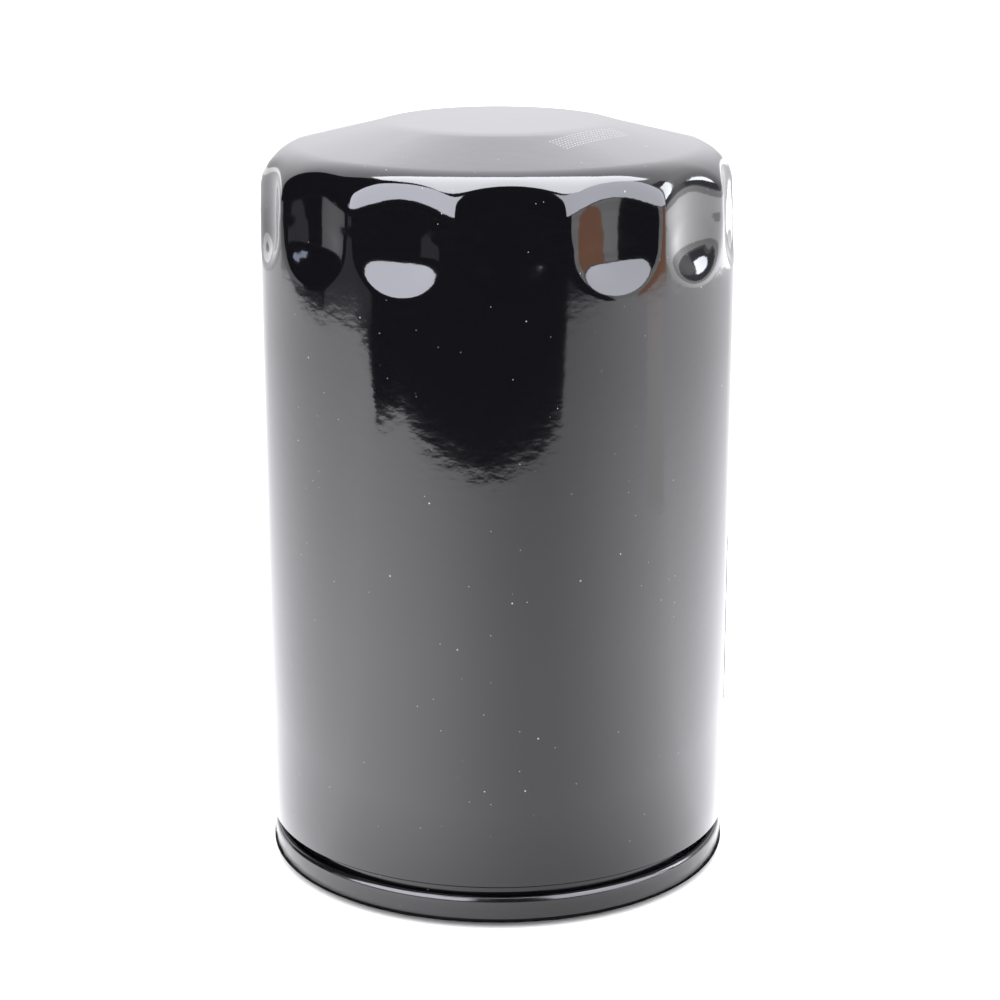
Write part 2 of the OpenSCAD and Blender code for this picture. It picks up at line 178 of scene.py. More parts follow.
# ---------------------------------------------------------------- canister
SHOULDER_X = CAN_R - SHOULDER_R
SHOULDER_END = SHOULDER_X + SHOULDER_R * math.sin(DOME_SLOPE)
SHOULDER_Z = TOP - (SHOULDER_END - DISC_R) * math.tan(DOME_SLOPE) - SHOULDER_R * math.cos(DOME_SLOPE)
BLEND_X = DISC_R - DISC_BLEND * math.tan(DOME_SLOPE / 2)

LID_WALL_IN = CAN_R - LID_T
HOOK_OUT = LID_WALL_IN - SEAM_GAP
HOOK_IN = HOOK_OUT - WALL
COVER_OUT = HOOK_IN - SEAM_GAP
COVER_IN = COVER_OUT - LID_T
NECK_R = COVER_IN - SEAM_GAP
NECK_IN = NECK_R - WALL
CHUCK_OUT = NECK_IN - SEAM_GAP
CHUCK_IN = CHUCK_OUT - LID_T
HOOK_BEND = (HOOK_IN - NECK_R) / 2
HOOK_FLOOR = SEAM_BOTTOM + LID_T + 0.3
HOOK_Z = HOOK_FLOOR + HOOK_BEND + WALL
TOP_BEND = (LID_WALL_IN - COVER_OUT) / 2
TOP_BEND_Z = SEAM_BOTTOM + SEAM_H - TOP_BEND - LID_T
NECK_Z = SEAM_BOTTOM + SEAM_H + NECK_GAP
BODY_CORNER = 0.5
NECK_FILLET = 0.5


def can_skin(inset, fine):
    """The can's skin from the dome's centre to the neck, inset from the outside; fine scales its steps."""
    slope = math.degrees(DOME_SLOPE)
    band = int(40 * fine)
    points = [(0.0, TOP - inset)]
    points += line((0.0, TOP - inset), (BLEND_X, TOP - inset), int(8 * fine))[:-1]
    points += arc(BLEND_X, TOP - DISC_BLEND, DISC_BLEND - inset, 90, 90 - slope, int(8 * fine))
    end = arc(SHOULDER_X, SHOULDER_Z, SHOULDER_R - inset, 90 - slope, 0, int(36 * fine))
    points += line(points[-1], end[0], int(10 * fine))[:-1]
    points += end
    points += line(end[-1], (CAN_R - inset, FLUTE_LOW - 2), band)
    points += line(points[-1], (CAN_R - inset, NECK_Z + BODY_CORNER), int(24 * fine))[:-1]
    points += arc(CAN_R - BODY_CORNER, NECK_Z + BODY_CORNER, BODY_CORNER - inset, 0, -90, 8)
    points += arc(NECK_R + NECK_FILLET, NECK_Z - NECK_FILLET, NECK_FILLET + inset, 90, 180, 6)
    return points


def fluted(inset):
    """The shape of one skin of the can: its radius drops where a flute is pressed in."""
    half = FLUTE_W / 2
    floor_r = CAN_R - FLUTE_DEPTH
    sag = math.sqrt(CAN_R ** 2 - half ** 2) - floor_r
    cutter_r = (half ** 2 + sag ** 2) / (2 * sag)
    centre = floor_r + cutter_r
    rim = FLUTE_RUNOUT + inset
    rise = math.sqrt(FLUTE_DEPTH * (2 * FLUTE_RUNOUT - FLUTE_DEPTH))
    rim_z = FLUTE_LOW + rise

    def shape(radii, heights, angles):
        z = heights[0]
        below = rim_z - z
        if below > rim - 0.5:
            return radii, heights
        drop = rim - math.sqrt(rim ** 2 - max(below, 0.0) ** 2)
        reach = cutter_r + inset - drop
        pitch = 2 * math.pi / FLUTES
        offset = (angles + math.pi / 2 - FLUTE_PHASE + pitch / 2) % pitch - pitch / 2
        inside = reach ** 2 - (centre * np.sin(offset)) ** 2
        cut = centre * np.cos(offset) - np.sqrt(np.clip(inside, 0, None))
        cut = np.where(inside > 0, cut, centre)
        upper = min(max((z - rim_z) / (SHOULDER_Z - rim_z), 0.0), 1.0)
        soft = FLUTE_SOFT[0] + (FLUTE_SOFT[1] - FLUTE_SOFT[0]) * upper * upper * (3 - 2 * upper)
        return soft_min(radii, cut, soft), heights

    return shape


def build_canister():
    """The drawn can: its outer skin, the body hook and its inner skin in one closed profile."""
    outer = can_skin(0.0, 1.0)
    inner = can_skin(WALL, 0.5)
    hook = arc(NECK_R + HOOK_BEND, HOOK_Z, HOOK_BEND, 180, 360, 8)
    hook += [(HOOK_IN, TOP_BEND_Z - 0.2), (HOOK_OUT, TOP_BEND_Z - 0.2)]
    hook += arc(NECK_R + HOOK_BEND, HOOK_Z, HOOK_BEND + WALL, 360, 180, 12)
    profile = outer + hook + inner[::-1]
    split = len(outer) + len(hook) // 2
    outside, inside = fluted(0.0), fluted(WALL)
    count = {"row": 0}

    def shape(radii, heights, angles):
        count["row"] += 1
        return (outside if count["row"] < split else inside)(radii, heights, angles)

    return lathe("can_shell", profile, FLUTES * 26, shape, loop=False, sharp_degrees=50)


# ---------------------------------------------------------------- seaming lid
GASKET_CLEAR = 0.1
GASKET_OUT = CHUCK_IN - GASKET_CLEAR
GASKET_IN = GASKET_OUT - 4.5
LIP_OUT = GASKET_IN - GASKET_CLEAR
CHANNEL_Z = 5.2
LIP_BEND = 0.3
LIP_END = 2.6
CHUCK_CORNER = LID_T + 0.1
SEAM_CORNER = 1.0
SEAM_TAPER = 0.24


def lid_skin(inset):
    """One face of the lid's sheet, from its inner lip round the channel and the seam to the cover hook."""
    points = [(LIP_OUT - inset, LIP_END)]
    points += arc(LIP_OUT + LIP_BEND, CHANNEL_Z - LIP_BEND, LIP_BEND + inset, 180, 90, 8)
    points += arc(CHUCK_IN - LIP_BEND, CHANNEL_Z - LIP_BEND, LIP_BEND + inset, 90, 0, 8)
    points += arc(CHUCK_IN + CHUCK_CORNER, SEAM_BOTTOM + CHUCK_CORNER, CHUCK_CORNER - inset, 180, 270, 8)
    points += arc(CAN_R - SEAM_CORNER, SEAM_BOTTOM + SEAM_CORNER, SEAM_CORNER - inset, 270, 360, 10)
    points += arc(COVER_OUT + TOP_BEND, TOP_BEND_Z, TOP_BEND + LID_T - inset, 0, 180, 14)
    points += [(COVER_IN + inset, HOOK_Z + 0.1)]
    return points


def build_lid():
    """The seam's outer wall carries the faint waves that the seaming rollers leave."""

    def shape(radii, heights, angles):
        edge = np.clip((radii - (HOOK_OUT - 0.2)) / 0.6, 0, 1)
        wave = 0.5 + 0.3 * np.sin(23 * angles + 1.1) + 0.2 * np.sin(57 * angles + 0.4)
        height = min(max((heights[0] - 2.5) / 2.0, 0.0), 1.0)
        skin = np.clip((radii - (CAN_R - 1.1)) / 0.9, 0, 1)
        return radii - 0.02 * edge * wave - SEAM_TAPER * skin * height * height, heights

    return lathe("rolled_lid", lid_skin(0.0) + lid_skin(LID_T)[::-1], 288, shape)


# ---------------------------------------------------------------- gasket
def ring(name, corners, rounding, segments=160, shape=None, steps=4):
    """A ring whose section is a polygon with its corners rounded, walked clockwise in the r-z plane."""
    points = []
    count = len(corners)
    for i, corner in enumerate(corners):
        points += eased(corners[i - 1], corner, corners[(i + 1) % count], rounding, steps)
    return lathe(name, points, segments, shape)


def build_gasket():
    """A square-cut ring with a shallow groove in each side and eight small lugs in each groove."""
    low, top = 0.0, GASKET_TOP
    inner, outer = GASKET_IN, GASKET_OUT
    groove = 0.18
    corners = [
        (inner + 0.15, low + 0.25), (inner + 0.5, low), (outer - 0.5, low), (outer - 0.15, low + 0.25),
        (outer - 0.1, low + 1.4), (outer - groove, low + 1.7), (outer - groove, low + 2.6),
        (outer - 0.02, low + 2.9), (outer - 0.05, top - 0.4), (outer - 0.4, top),
        (inner + 0.4, top), (inner + 0.05, top - 0.4), (inner + 0.02, low + 2.9),
        (inner + groove, low + 2.6), (inner + groove, low + 1.7), (inner + 0.1, low + 1.4),
    ]

    def shape(radii, heights, angles):
        lug = np.clip((np.cos(8 * angles) - 0.93) / 0.05, 0, 1)
        side = 1.0 if radii[0] > (inner + outer) / 2 else -1.0
        in_groove = max(groove - min(radii[0] - inner, outer - radii[0]), 0.0) < 0.04
        return radii + side * lug * in_groove * (groove - 0.03), heights

    return ring("gasket_ring", corners[::-1], 0.22, 192, shape)


# ---------------------------------------------------------------- base plate
PLATE_Z = CHANNEL_Z + LID_T
PLATE_T = 2.8
PLATE_R = NECK_IN - 0.35
DISH_DEPTH = 1.6
DISH_Z = PLATE_Z - DISH_DEPTH
DISH_TOP = DISH_Z + PLATE_T
DISH_OUT = LIP_OUT - LID_T - 0.8
DISH_IN = DISH_OUT - DISH_DEPTH - 1
THREAD_R = 8.7
THREAD_PITCH = 25.4 / 16
THREAD_DEPTH = 0.82
COLLAR_OUT = THREAD_R + 2.9
COLLAR_TOP = DISH_Z + 11
INLETS = 8
INLET_R = 3.25
INLET_PCD_R = 20.5
PLATE_SHARP = 38


def build_plate():
    """The stamped plate: dish, threaded collar with a right-hand helical thread, and eight inlet holes."""
    body = rounded([
        (THREAD_R + 1.0, DISH_Z), (DISH_OUT - DISH_DEPTH, DISH_Z), (DISH_OUT, PLATE_Z), (PLATE_R, PLATE_Z),
        (PLATE_R, PLATE_Z + PLATE_T), (DISH_IN + DISH_DEPTH, PLATE_Z + PLATE_T), (DISH_IN, DISH_TOP),
        (COLLAR_OUT, DISH_TOP), (COLLAR_OUT, COLLAR_TOP), (THREAD_R + 0.5, COLLAR_TOP),
    ], 0.45)
    bore = line((THREAD_R + 0.5, COLLAR_TOP), (THREAD_R, COLLAR_TOP - 0.5), 3)
    bore += line((THREAD_R, COLLAR_TOP - 0.5), (THREAD_R, DISH_Z + 1.0), 84)
    bore += line((THREAD_R, DISH_Z + 1.0), (THREAD_R + 1.0, DISH_Z), 6)[:-1]

    def shape(radii, heights, angles):
        z = heights[0]
        if radii[0] > THREAD_R + 0.99:
            return radii, heights
        turn = ((z - DISH_Z) / THREAD_PITCH - angles / (2 * math.pi)) % 1.0
        groove = np.clip(1.5 - 3.4 * np.abs(turn - 0.5), 0, 1) * THREAD_DEPTH
        ends = min(max((COLLAR_TOP - z) / 0.8, 0.0), 1.0) * min(max((z - DISH_Z) / 0.8, 0.0), 1.0)
        return np.maximum(radii, THREAD_R + groove * ends), heights

    plate = lathe("threaded_plate", (body + bore)[::-1], 144, shape, sharp_degrees=PLATE_SHARP)
    cutters = []
    for i in range(INLETS):
        angle = (i + 0.5) * 2 * math.pi / INLETS
        section = [
            (0.0, DISH_Z - 0.6), (INLET_R + 0.85, DISH_Z - 0.6), (INLET_R + 0.25, DISH_Z),
            (INLET_R, DISH_Z + 0.35), (INLET_R, DISH_TOP - 0.3), (INLET_R + 0.3, DISH_TOP),
            (INLET_R + 0.9, DISH_TOP + 0.6), (0.0, DISH_TOP + 0.6),
        ]
        cutter = lathe(f"inlet_cutter_{i}", section[::-1], 40, loop=False)
        cutter.location = (INLET_PCD_R * math.cos(angle) * MM, INLET_PCD_R * math.sin(angle) * MM, 0.0)
        cutters.append(cutter)
    bpy.context.view_layer.update()
    for cutter in cutters:
        drill = plate.modifiers.new(cutter.name, "BOOLEAN")
        drill.operation = "DIFFERENCE"
        drill.solver = "EXACT"
        drill.object = cutter
    bpy.context.view_layer.update()
    depsgraph = bpy.context.evaluated_depsgraph_get()
    mesh = bpy.data.meshes.new_from_object(plate.evaluated_get(depsgraph))
    plate.modifiers.clear()
    plate.data = mesh
    mesh.set_sharp_from_angle(angle=math.radians(PLATE_SHARP))
    for cutter in cutters:
        bpy.data.objects.remove(cutter)
    return plate


# ---------------------------------------------------------------- drain-back valve
VALVE_IN = COLLAR_OUT + 0.7
VALVE_OUT = 15.6
VALVE_TOP = 13.0
FLAP_IN = VALVE_OUT + 0.3
FLAP_TIP_R = DISH_IN - 0.4
FLAP_TIP_Z = DISH_TOP + 0.15
FLAP_ROOT_Z = 9.6


def build_valve():
    """The valve's collar, with a groove round it, and its skirt, with three fine ribs underneath."""
    collar = ring("valve_collar", [
        (VALVE_IN, DISH_TOP), (VALVE_OUT, DISH_TOP), (VALVE_OUT, 8.6), (VALVE_OUT - 0.25, 8.8),
        (VALVE_OUT - 0.25, 9.1), (VALVE_OUT, 9.3), (VALVE_OUT, VALVE_TOP), (VALVE_IN, VALVE_TOP),
    ][::-1], 0.35, 128)
    tip = FLAP_TIP_R
    ribs = [(tip - 2.2 - 0.9 * i, FLAP_TIP_Z + 0.25 + (2.2 + 0.9 * i) * 0.235) for i in range(3)]
    under = [(FLAP_IN, FLAP_ROOT_Z)]
    for r, z in reversed(ribs):
        under += [(r - 0.18, z + 0.03), (r, z - 0.1), (r + 0.18, z - 0.03)]
    section = under + [
        (tip - 0.6, FLAP_TIP_Z + 0.25), (tip - 0.3, FLAP_TIP_Z), (tip, FLAP_TIP_Z + 0.25),
        (tip, FLAP_TIP_Z + 0.85), (FLAP_IN + 1, FLAP_ROOT_Z + 1), (FLAP_IN, FLAP_ROOT_Z + 1),
    ]
    flap = ring("valve_skirt", section[::-1], 0.16, 128)
    return collar, flap


# ---------------------------------------------------------------- filter element
CAP_T = 0.5
CAP_R = CAN_R - 4
LOWER_CAP_Z = VALVE_TOP + 0.1
LOWER_CAP_TOP = LOWER_CAP_Z + CAP_T
UPPER_CAP_TOP = TOP - 22.9
UPPER_CAP_Z = UPPER_CAP_TOP - CAP_T
TUBE_R = 13.5
GLUE_T = 2.0
UPPER_GLUE_IN = 16.2
MEDIA_Z0 = LOWER_CAP_TOP + GLUE_T
MEDIA_Z1 = UPPER_CAP_Z - GLUE_T
PLEATS = 48
PAPER_T = 0.4
CAP_BEND = 1.0
CAP_SKIRT = 3.5
LOWER_CAP_BORE = 12.2
LOWER_CAP_LIP = 3.0
LOWER_CAP_MID = 22.0
UPPER_CAP_BORE = 7.0
BEAD_R = 14.6
FOLD_OUT_R = 32.0
FOLD_OUT_BEND = 0.7
FOLD_IN_R = 14.85
FOLD_IN_BEND = 0.45
FOLD_DEGREES = 84
MEDIA_ROWS = 13


def build_lower_cap():
    """The pan with a lip turned up round its bore."""
    z, bore = LOWER_CAP_Z, LOWER_CAP_BORE
    rim = CAP_R - CAP_BEND

    def skin(inset):
        bend = CAP_BEND - inset
        points = [(bore + inset, z + LOWER_CAP_LIP)]
        points += arc(bore + CAP_BEND, z + CAP_BEND, bend, 180, 270, 6)
        points += line(points[-1], (LOWER_CAP_MID, z + inset), 4)
        points += line((LOWER_CAP_MID, z + inset), (rim, z + inset), 6)
        points += arc(rim, z + CAP_BEND, bend, 270, 360, 6)
        return points + [(CAP_R - inset, z + CAP_SKIRT)]

    return lathe("lower_cap_pan", (skin(0.0) + skin(CAP_T)[::-1])[::-1], 144)


def build_upper_cap():
    """The pan with its pressed bead, which centres the element spring."""

    def skin(z, bend):
        points = rounded([
            (UPPER_CAP_BORE, z), (BEAD_R, z), (BEAD_R + 0.8, z + 0.8), (BEAD_R + 2.0, z + 0.8),
            (BEAD_R + 2.8, z), (CAP_R - CAP_BEND, z),
        ], 0.5)
        points += arc(CAP_R - CAP_BEND, UPPER_CAP_TOP - CAP_BEND, bend, 90, 0, 6)[1:]
        return points + [(CAP_R - CAP_BEND + bend, UPPER_CAP_TOP - CAP_SKIRT)]

    outside, inside = skin(UPPER_CAP_TOP, CAP_BEND), skin(UPPER_CAP_Z, CAP_BEND - CAP_T)
    return lathe("upper_cap_pan", outside + inside[::-1], 144)


def build_glue(name, r0, z0, seed):
    """A ring of cured adhesive whose free face is uneven round the folds."""
    r1 = CAP_R - 1.0

    def shape(radii, heights, angles):
        free = z0 + GLUE_T if seed == 1 else z0
        near = max(1 - abs(heights[0] - free) / 0.6, 0.0)
        bump = 0.5 + 0.5 * np.sin(PLEATS * angles + seed) * np.sin(5 * angles + 2 * seed)
        step = 0.16 * near * bump * (1 if free > z0 else -1)
        return radii, heights - step

    points = [(r0, z0)] + line((r0, z0), (r1, z0), 8) + line((r1, z0), (r1, z0 + GLUE_T), 3)
    points += line((r1, z0 + GLUE_T), (r0, z0 + GLUE_T), 8) + line((r0, z0 + GLUE_T), (r0, z0), 3)[:-1]
    return lathe(name, points[::-1], 192, shape)


def pleat_path(side):
    """The plan of one face of the paper, as a closed line of (x, y); side is 1 outside and -1 inside."""
    step = 2 * math.pi / PLEATS
    end = math.radians(FOLD_DEGREES)
    outer = FOLD_OUT_BEND + side * PAPER_T / 2
    inner = FOLD_IN_BEND - side * PAPER_T / 2

    def bend(fold_r, radius, a, t):
        return (
            fold_r * math.cos(a) + radius * math.cos(a + t),
            fold_r * math.sin(a) + radius * math.sin(a + t),
        )

    path = []
    for i in range(PLEATS):
        a, b, c = i * step, i * step + step / 2, (i + 1) * step
        turns = np.radians(np.linspace(-FOLD_DEGREES, FOLD_DEGREES, 7))
        path += [bend(FOLD_OUT_R, outer, a, t) for t in turns]
        fold = [bend(FOLD_IN_R, inner, b, t) for t in np.radians(np.linspace(270, 90, 5))]
        path += line(path[-1], fold[0], 5)[:-1] + fold
        path += line(fold[-1], bend(FOLD_OUT_R, outer, c, -end), 5)[:-1]
    return np.array(path)


def build_media():
    """Pleated paper: round folds outside and inside, with flat sides that sway a little."""
    skins = {side: pleat_path(side) for side in (1, -1)}
    count = len(skins[1])
    rows = MEDIA_ROWS
    vertices, faces = [], []
    turn = np.arange(count)
    for path in skins.values():
        radius = np.hypot(path[:, 0], path[:, 1])
        angle = np.arctan2(path[:, 1], path[:, 0])
        mid = np.sin(np.clip((radius - 15.5) / 15.5, 0, 1) * math.pi)
        pleat = turn * PLEATS // count
        for k in range(rows):
            z = MEDIA_Z0 + (MEDIA_Z1 - MEDIA_Z0) * k / (rows - 1)
            ends = math.sin(math.pi * k / (rows - 1))
            sway = 0.004 * mid * ends * np.sin(2.1 * k + 1.7 * pleat)
            vertices += zip(radius * np.cos(angle + sway), radius * np.sin(angle + sway), np.full(count, z))

    def at(side, k, i):
        return (0 if side == 1 else rows * count) + k * count + i % count

    for k in range(rows - 1):
        for i in range(count):
            faces.append([at(1, k, i), at(1, k, i + 1), at(1, k + 1, i + 1), at(1, k + 1, i)])
            faces.append([at(-1, k, i), at(-1, k + 1, i), at(-1, k + 1, i + 1), at(-1, k, i + 1)])
    last = rows - 1
    for i in range(count):
        faces.append([at(1, 0, i), at(-1, 0, i), at(-1, 0, i + 1), at(1, 0, i + 1)])
        faces.append([at(1, last, i), at(1, last, i + 1), at(-1, last, i + 1), at(-1, last, i)])
    return make_object("pleated_paper", vertices, faces, 50)


# ---------------------------------------------------------------- bypass valve and springs
CAGE_Z = UPPER_CAP_Z - 14.0
SEAL_TOP = UPPER_CAP_Z - 0.1
SEAL_Z = SEAL_TOP - 1.4
POPPET_Z = SEAL_Z - 0.7
RETAINER_T = 0.4
RETAINER_R = 5.6
SEAL_IN, SEAL_OUT = 3.0, 9.0
ELEMENT_COIL_R, ELEMENT_WIRE = 13.0, 1.8
BYPASS_COIL_R, BYPASS_WIRE = 5.0, 1.0


def build_poppet():
    """The guide stem, the disc that carries the seal and the boss peened over the retainer."""
    low, top = CAGE_Z - 0.6, SEAL_TOP + 0.68
    return lathe("poppet_stem", [(0.0, low)] + rounded([
        (0.05, low), (1.98, low), (1.98, POPPET_Z), (8.58, POPPET_Z), (8.58, SEAL_Z), (2.88, SEAL_Z),
        (2.88, SEAL_TOP + RETAINER_T), (3.35, SEAL_TOP + RETAINER_T), (2.9, top), (0.05, top),
    ], 0.15) + [(0.0, top)], 72, loop=False)


def build_coil(name, coil_r, wire, turns, z0, height, sides=12, steps=40):
    """A wire spring with closed ends, whose last faces are cut square to the wire."""
    closed = wire * 1.05
    open_h = height - wire - 2 * closed
    count = turns * steps
    vertices, faces = [], []
    for i in range(count + 1):
        t = i / steps
        if t < 1:
            rise = t * closed
        elif t > turns - 1:
            rise = height - wire - (turns - t) * closed
        else:
            rise = closed + (t - 1) / (turns - 2) * open_h
        a = 2 * math.pi * t
        for j in range(sides):
            b = 2 * math.pi * j / sides
            r = coil_r + wire / 2 * math.cos(b)
            vertices.append((r * math.cos(a), r * math.sin(a), z0 + wire / 2 * (1 + math.sin(b)) + rise))
    for i in range(count):
        for j in range(sides):
            k = (j + 1) % sides
            faces.append([i * sides + j, (i + 1) * sides + j, (i + 1) * sides + k, i * sides + k])
    faces.append(list(range(sides)))
    faces.append([count * sides + j for j in range(sides - 1, -1, -1)])
    return make_object(name, vertices, faces, 50)


# ---------------------------------------------------------------- label
LABEL_Z0, LABEL_Z1 = 25.3, 54.8
LABEL_A0, LABEL_A1 = math.radians(-5.5), math.radians(90.5)
LABEL_CORNER = 2.5
LABEL_GAP = 0.004


def build_label():
    """A thin film with rounded corners that lies on the can's wall."""
    inner, outer = CAN_R + LABEL_GAP, LABEL_R
    span = (LABEL_A1 - LABEL_A0) * CAN_R
    near = [LABEL_CORNER * (1 - math.cos(math.radians(t))) for t in range(0, 91, 10)]
    along = near + list(np.linspace(LABEL_CORNER, span - LABEL_CORNER, 60))[1:-1]
    along += [span - d for d in near[::-1]]
    rows = 6
    vertices, faces = [], []
    for radius in (outer, inner):
        for d in along:
            edge = min(d, span - d)
            trim = 0.0
            if edge < LABEL_CORNER:
                trim = LABEL_CORNER - math.sqrt(max(LABEL_CORNER ** 2 - (LABEL_CORNER - edge) ** 2, 0.0))
            a = LABEL_A0 + d / CAN_R
            for k in range(rows):
                z = LABEL_Z0 + trim + (LABEL_Z1 - LABEL_Z0 - 2 * trim) * k / (rows - 1)
                vertices.append((radius * math.cos(a), radius * math.sin(a), z))
    half = len(along) * rows

    def at(layer, i, k):
        return layer * half + i * rows + k

    last = len(along) - 1
    for i in range(last):
        for k in range(rows - 1):
            faces.append([at(0, i, k), at(0, i + 1, k), at(0, i + 1, k + 1), at(0, i, k + 1)])
            faces.append([at(1, i, k), at(1, i, k + 1), at(1, i + 1, k + 1), at(1, i + 1, k)])
        faces.append([at(0, i, 0), at(1, i, 0), at(1, i + 1, 0), at(0, i + 1, 0)])
        top = rows - 1
        faces.append([at(0, i, top), at(0, i + 1, top), at(1, i + 1, top), at(1, i, top)])
    for k in range(rows - 1):
        faces.append([at(0, 0, k), at(0, 0, k + 1), at(1, 0, k + 1), at(1, 0, k)])
        faces.append([at(0, last, k), at(1, last, k), at(1, last, k + 1), at(0, last, k + 1)])
    return make_object("label_film", vertices, faces, 50)


# ---------------------------------------------------------------- materials
class Nodes:
    """A short way to write a node material."""

    def __init__(self, name):
        self.material = bpy.data.materials.new(name)
        self.material.use_nodes = True
        self.tree = self.material.node_tree
        self.shader = self.tree.nodes["Principled BSDF"]
        self.place = self.add("ShaderNodeTexCoord").outputs["Object"]

    def add(self, kind, **inputs):
        node = self.tree.nodes.new(kind)
        for key, value in inputs.items():
            self.put(node.inputs[key.replace("_", " ")], value)
        return node

    def put(self, socket, value):
        if isinstance(value, bpy.types.NodeSocket):
            self.tree.links.new(value, socket)
        else:
            socket.default_value = value

    def set(self, **inputs):
        for key, value in inputs.items():
            self.put(self.shader.inputs[key.replace("_", " ")], value)
        return self

    def noise(self, scale, detail=3.0, rough=0.5, vector=None):
        node = self.add("ShaderNodeTexNoise", Scale=scale, Detail=detail, Roughness=rough)
        self.put(node.inputs["Vector"], vector or self.place)
        return node.outputs["Fac"]

    def stretch(self, x, y, z):
        node = self.add("ShaderNodeMapping", Vector=self.place)
        node.inputs["Scale"].default_value = (x, y, z)
        return node.outputs["Vector"]

    def ramp(self, value, low, high, out_low=0.0, out_high=1.0):
        node = self.add("ShaderNodeMapRange", Value=value)
        node.inputs["From Min"].default_value = low
        node.inputs["From Max"].default_value = high
        node.inputs["To Min"].default_value = out_low
        node.inputs["To Max"].default_value = out_high
        return node.outputs["Result"]

    def math(self, operation, a, b=0.0):
        node = self.tree.nodes.new("ShaderNodeMath")
        node.operation = operation
        self.put(node.inputs[0], a)
        self.put(node.inputs[1], b)
        return node.outputs[0]

    def mix(self, factor, a, b):
        node = self.tree.nodes.new("ShaderNodeMix")
        node.data_type = "RGBA"
        self.put(node.inputs["Factor"], factor)
        self.put(node.inputs["A"], a)
        self.put(node.inputs["B"], b)
        return node.outputs["Result"]

    def bump(self, height, distance, strength=1.0, normal=None):
        node = self.add("ShaderNodeBump", Height=height, Distance=distance, Strength=strength)
        if normal is not None:
            self.put(node.inputs["Normal"], normal)
        return node.outputs["Normal"]

    def specks(self, scale, radius, share):
        """Small round specks: a cell holds one where its random value is under share."""
        node = self.add("ShaderNodeTexVoronoi", Vector=self.place, Scale=scale, Randomness=1.0)
        near = self.math("LESS_THAN", node.outputs["Distance"], radius)
        pick = self.add("ShaderNodeSeparateColor", Color=node.outputs["Color"])
        chosen = self.math("LESS_THAN", pick.outputs["Red"], share)
        return self.math("MULTIPLY", near, chosen)


def gray(v, warm=0.0):
    """A grey of brightness v, or a slightly warmer one."""
    return (v * (1 + warm), v, v * (1 - warm), 1.0)


DOTS_AT = (0.0142, -0.0150, 0.0)
DOTS_TURN = 50
DOTS_HALF = (0.0081, 0.0018)
DOTS_PER_METRE = 1500.0


def dots(m):
    """A plain grid of small printed dots on the dome, standing where the maker prints a code."""
    turned = m.add("ShaderNodeMapping", Vector=m.place)
    turned.vector_type = "TEXTURE"
    turned.inputs["Location"].default_value = DOTS_AT
    turned.inputs["Rotation"].default_value = (0.0, 0.0, math.radians(DOTS_TURN))
    split = m.add("ShaderNodeSeparateXYZ", Vector=turned.outputs["Vector"])
    wide = m.math("LESS_THAN", m.math("ABSOLUTE", split.outputs["X"]), DOTS_HALF[0])
    tall = m.math("LESS_THAN", m.math("ABSOLUTE", split.outputs["Y"]), DOTS_HALF[1])
    high = m.math("GREATER_THAN", split.outputs["Z"], 0.11)
    squares = []
    for axis in ("X", "Y"):
        cell = m.math("FRACT", m.math("MULTIPLY", split.outputs[axis], DOTS_PER_METRE))
        away = m.math("SUBTRACT", cell, 0.5)
        squares.append(m.math("MULTIPLY", away, away))
    dot = m.math("LESS_THAN", m.math("ADD", *squares), 0.055)
    area = m.math("MULTIPLY", m.math("MULTIPLY", wide, tall), high)
    return m.math("MULTIPLY", dot, area)


def can_paint():
    """Gloss black enamel: orange peel, a little dust, fine rubs and a very faint haze."""
    m = Nodes("can_paint")
    peel = m.noise(430, 2.0, 0.45, m.stretch(1.0, 1.0, 1.5))
    fine = m.noise(2100, 2.0, 0.5)
    slow = m.noise(60, 2.0, 0.5)
    dust = m.math("MAXIMUM", m.specks(480, 0.07, 0.09), m.specks(900, 0.07, 0.10))
    rubs = m.ramp(m.noise(900, 3.0, 0.6, m.stretch(1.0, 1.0, 0.06)), 0.72, 0.76, 0.0, 0.05)
    haze = m.ramp(m.noise(35, 4.0, 0.6), 0.35, 0.75, 0.055, 0.09)
    print_mask = dots(m)
    normal = m.bump(peel, 0.000011, 1.0, m.bump(fine, 0.000001, 1.0, m.bump(slow, 0.00004)))
    color = m.mix(dust, (0.0028, 0.0026, 0.0034, 1.0), gray(0.2, 0.02))
    color = m.mix(print_mask, color, gray(0.2))
    matt = m.math("MULTIPLY", m.math("ADD", dust, print_mask), 0.4)
    rough = m.math("ADD", m.math("ADD", haze, rubs), matt)
    m.set(Base_Color=color, Roughness=rough, Normal=normal, IOR=1.5)
    return m.material


def lid_paint():
    """The same enamel on the rolled edge, thinner and a little rougher."""
    m = Nodes("lid_paint")
    drawn = m.noise(900, 3.0, 0.6, m.stretch(1.0, 1.0, 0.25))
    wear = m.ramp(m.noise(240, 4.0, 0.65), 0.66, 0.74)
    m.set(
        Base_Color=m.mix(wear, gray(0.005), gray(0.03, 0.05)),
        Roughness=m.ramp(drawn, 0.3, 0.7, 0.10, 0.2),
        Normal=m.bump(drawn, 0.000008),
        IOR=1.5,
    )
    return m.material


